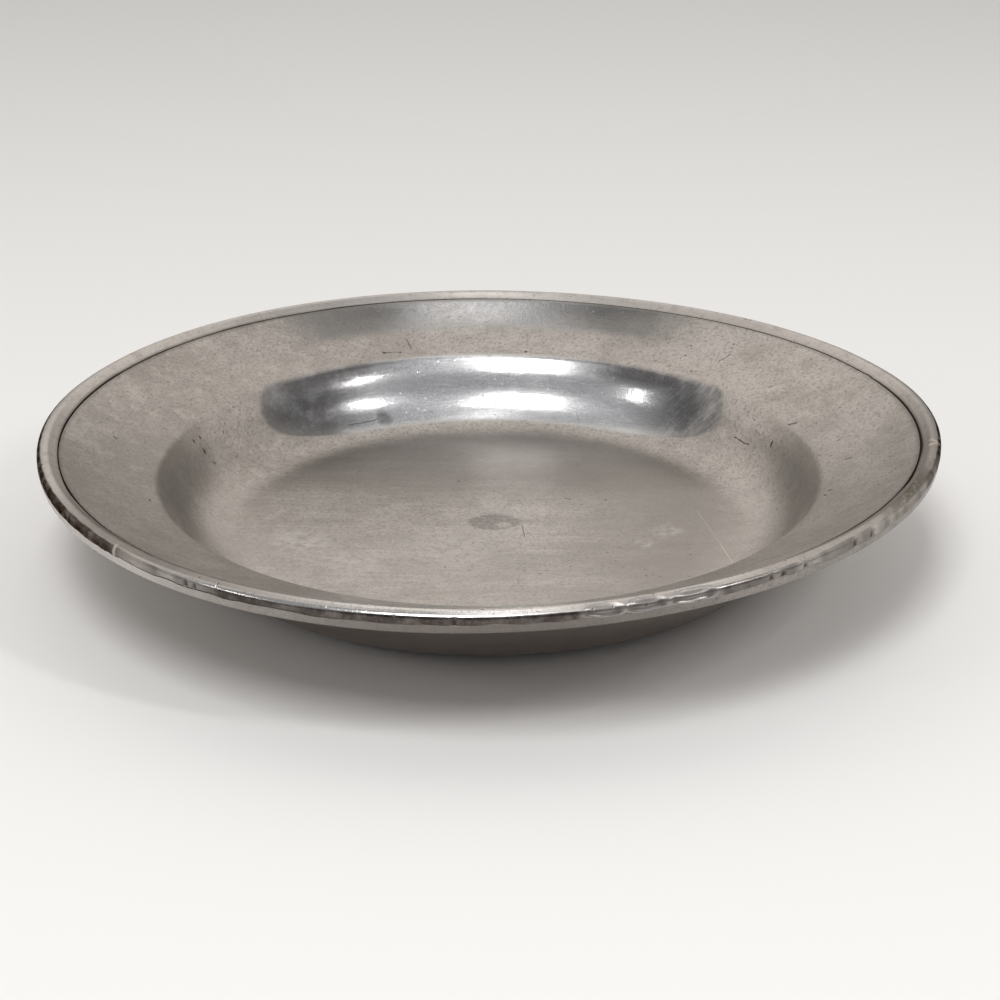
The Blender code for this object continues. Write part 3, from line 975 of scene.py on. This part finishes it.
def dish_roughness(f, at, marks):
    """Uneven roughness, lower where the metal is polished and higher in dirt. The polished patch has fine
    glints and hairlines that run round it."""
    rough = f.add(0.24, at.mottle, 0.18)
    rough = f.add(rough, at.grain, 0.10)
    rough = f.add(rough, at.lens, -0.22)
    bearing = f.math("ARCTAN2", at.y, at.x)
    swirl = f.level(f.times(bearing, HAIRLINES_ROUND), f.times(at.radius, TURNING_LINES))
    hairline = f.noise(1.0, 3.0, 0.6, place=swirl)
    glint = f.times(at.lens, f.step(f.noise(9000.0, 1.0), 0.46, 0.60))
    rough = f.add(rough, glint, 0.34)
    rough = f.add(rough, f.times(at.lens, f.step(hairline, 0.48, 0.70)), 0.10)
    rough = f.add(rough, at.edge, -0.18)
    rough = f.add(rough, marks, 0.3)
    return f.add(rough, at.grime, 0.4, clamp=True)


def dish_relief(f, at, marks):
    """Fine relief: mottling, grain, turning lines and sunk marks."""
    normal = f.bump(at.mottle, 0.16, 0.0004)
    normal = f.bump(at.grain, 0.10, 0.0002, normal)
    normal = f.bump(f.noise_line(f.times(at.radius, TURNING_LINES)), 0.05, 0.0002, normal)
    return f.bump(f.times(marks, -1.0), 0.5, 0.0004, normal)


def dish_finish():
    """Worn pewter: cloudy warm grey on floor and flange, polished and cooler on the booge, the cool colour
    partly painted sheen, painted darker underneath as painted shade, with pits, scratches and a stain."""
    f = Finish("worn_pewter")
    at = DishPlaces(f)
    marks = pits_and_scratches(f, at)
    colour = worn_metal(f, at)
    colour = floor_tones(f, at, colour)
    colour = booge_tones(f, at, colour)
    colour = lip_and_underside_tones(f, at, colour)
    colour = f.coat(colour, PIT_DIRT, marks, 0.80)
    colour = stain_tones(f, at, colour)
    f.give("Base Color", f.mix(at.grime, colour, SEAM_DIRT))
    f.give("Roughness", dish_roughness(f, at, marks))
    f.give("Specular Tint", f.mix(at.grime, CLEAN_TINT, DIRT_TINT))
    f.give("Normal", dish_relief(f, at, marks))
    f.give("Metallic", 1.0)
    return f.material


def band_finish():
    """Handled pewter of the rim band: polished crest, its bright colour partly painted highlight, dull land
    darkened on some stretches and a dark outer face, both painted shade, and dirt in the seams.
    """
    f = Finish("polished_pewter")
    mottle = f.noise(260.0, 6.0, 0.62)
    grain = f.noise(1300.0, 3.0, 0.6)
    polish = f.attribute("polish")
    grime = f.attribute("grime")
    pits = f.sprinkle(600.0, 0.26, 0.14)
    face = f.times(f.attribute("face"), f.step(mottle, 0.85, 0.40, 0.55, 1.0))
    stain = f.times(f.attribute("stain"), f.step(mottle, 0.28, 0.52))
    solder = f.times(f.attribute("solder"), f.step(mottle, 0.35, 0.60))

    colour = f.mix(f.step(f.noise(40.0, 3.0, 0.5), 0.4, 0.7), BAND_PEWTER, WARM_PEWTER)
    # Painted highlight: the polished crest is painted bright
    colour = f.coat(colour, BRIGHT_PEWTER, polish, 0.8)
    dulled = f.add(0.58, polish, -0.40)
    colour = f.coat(colour, DULL_PEWTER, f.step(mottle, 0.46, 0.72), dulled)
    # Painted shade: the dark outer face and dark lands
    colour = f.mix(face, colour, FACE_SHADE_PEWTER)
    colour = f.coat(colour, CREST_TARNISH, stain, 0.90)
    colour = f.coat(colour, SOLDER_PEWTER, solder, 0.8)
    colour = f.coat(colour, DARK_PEWTER, f.step(grain, 0.50, 0.75), 0.45)
    colour = f.coat(colour, PIT_DIRT, pits, 0.6)
    f.give("Base Color", f.mix(grime, colour, SEAM_DIRT))

    rough = f.add(0.30, mottle, 0.18)
    rough = f.add(rough, polish, -0.20)
    rough = f.add(rough, stain, 0.2)
    f.give("Roughness", f.add(rough, grime, 0.4, clamp=True))
    # Painted shade: the glancing reflection of the outer face is darkened
    f.give("Specular Tint", f.mix(face, CLEAN_TINT, FACE_SHADE_TINT))
    f.give("Metallic", 1.0)
    normal = f.bump(mottle, 0.18, 0.0003)
    normal = f.bump(grain, 0.10, 0.0002, normal)
    f.give("Normal", f.bump(f.times(pits, -1.0), 0.4, 0.0003, normal))
    return f.material


# Studio floor: half its width and its level in metres, and the two tones of its paper
FLOOR_REACH, FLOOR_LEVEL = 12.0, -0.0002
PAPER_TONES = ((0.84, 0.83, 0.81, 1.0), (0.86, 0.85, 0.83, 1.0))


def add_floor():
    """Wide pale studio floor, level and just under the plate's underside."""
    ways = np.array([(-1.0, -1.0), (1.0, -1.0), (1.0, 1.0), (-1.0, 1.0)])
    corners = np.column_stack([ways * FLOOR_REACH, np.full(len(ways), FLOOR_LEVEL)])
    mesh = bpy.data.meshes.new("studio_floor")
    mesh.from_pydata(corners.tolist(), [], [(0, 1, 2, 3)])
    floor = bpy.data.objects.new("studio_floor", mesh)
    bpy.context.scene.collection.objects.link(floor)
    finish = Finish("floor_paper")
    tone = finish.mix(finish.noise(1.5, 2.0), *PAPER_TONES)
    finish.give("Base Color", tone)
    finish.give("Roughness", 0.9)
    finish.give("Specular IOR Level", 0.1)
    mesh.materials.append(finish.material)


# Lamps: name, place and aim in metres, width and height in metres, power in watts
WELL_AIM = (0.0, 0.09, 0.02)
LAMPS = [
    ("window_centre", (-0.225, -0.69, 1.365), WELL_AIM, (0.54, 0.80), 11.0),
    ("lamp_right", (0.92, -0.54, 0.98), WELL_AIM, (0.10, 0.36), 3.3),
    ("lamp_left", (-1.16, -0.58, 0.64), WELL_AIM, (0.11, 0.12), 0.7),
    ("overhead", (0.02, 0.25, 1.60), (0.0, 0.0, 0.0), (0.20, 0.76), 0.95),
]


def add_light(name, place, aim, size, power):
    """A soft white rectangular lamp at a place, turned towards a point."""
    lamp = bpy.data.lights.new(name, "AREA")
    lamp.shape = "RECTANGLE"
    lamp.size, lamp.size_y = size
    lamp.energy = power
    thing = bpy.data.objects.new(name, lamp)
    thing.location = place
    thing.rotation_euler = (Vector(aim) - Vector(place)).to_track_quat("-Z", "Y").to_euler()
    bpy.context.scene.collection.objects.link(thing)


# Colours of the studio's surroundings, as linear red, green, blue and alpha
HORIZON_LEFT = (0.44, 0.42, 0.39, 1.0)
HORIZON_RIGHT = (0.22, 0.205, 0.19, 1.0)
OVERHEAD = (0.96, 0.925, 0.885, 1.0)
SIDE = (1.10, 1.06, 1.01, 1.0)
CAMERA_SIDE = (0.27, 0.275, 0.29, 1.0)

# Where those colours meet, as parts of the direction looked in: across the horizon, out to the sides, up
# from the horizon, and back from the camera, whose edge leans by a share of the way to the side
ACROSS_HORIZON = (-0.40, 0.40)
OUT_TO_SIDES = (0.60, 0.84)
UP_FROM_HORIZON = (0.17, 0.47)
BACK_FROM_CAMERA, EDGE_LEAN = (0.30, 0.41), 0.33


def add_world():
    """Plain studio surroundings: warm and light above and to the sides of the plate, dim along the horizon
    behind it, and dim and cool on the camera's side, with a soft edge between the two."""
    world = bpy.data.worlds.new("studio")
    bpy.context.scene.world = world
    world.use_nodes = True
    w = Nodes(world.node_tree)
    x, y, z = w.split(w.make("TexCoord")["Generated"])
    sideways = w.math("ABSOLUTE", x)
    horizon = w.mix(w.step(x, *ACROSS_HORIZON), HORIZON_LEFT, HORIZON_RIGHT)
    horizon = w.mix(w.step(sideways, *OUT_TO_SIDES), horizon, SIDE)
    back = w.mix(w.step(z, *UP_FROM_HORIZON), horizon, OVERHEAD)
    behind = w.add(y, sideways, EDGE_LEAN)
    colour = w.mix(w.step(behind, *BACK_FROM_CAMERA), CAMERA_SIDE, back)
    w.put(w.nodes["Background"].inputs["Color"], colour)
    w.put(w.nodes["Background"].inputs["Strength"], 1.0)


def add_camera():
    """Camera at the photograph's angle. It is turned so that the rim's centre falls on its own pixel."""
    back = Vector((0.0, -math.cos(VIEW_ELEVATION), math.sin(VIEW_ELEVATION)))
    ahead, right = -back, Vector((1.0, 0.0, 0.0))
    up = right.cross(ahead)
    offset_x = IMAGE_PIXELS / 2.0 - CENTRE_PIXEL[0]
    offset_y = IMAGE_PIXELS / 2.0 - CENTRE_PIXEL[1]
    aim = ahead * FOCAL_PIXELS + right * offset_x - up * offset_y
    data = bpy.data.cameras.new("camera")
    data.sensor_width = SENSOR_WIDTH
    data.lens = FOCAL_PIXELS / IMAGE_PIXELS * SENSOR_WIDTH
    data.clip_start = 0.01
    camera = bpy.data.objects.new("camera", data)
    camera.location = VIEW_CENTRE + back * VIEW_DISTANCE
    camera.rotation_euler = aim.to_track_quat("-Z", "Y").to_euler()
    bpy.context.scene.collection.objects.link(camera)
    bpy.context.scene.camera = camera


bpy.context.scene.view_settings.view_transform = "Standard"

for piece, node, slot, finish in (
    (make_dish(), "dish", "worn_pewter", dish_finish()),
    (make_band(), "rim_band", "polished_pewter", band_finish()),
):
    piece.data.materials.append(finish)
    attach(piece, "root")
    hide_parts(node)

add_floor()
add_world()
for lamp in LAMPS:
    add_light(*lamp)
add_camera()
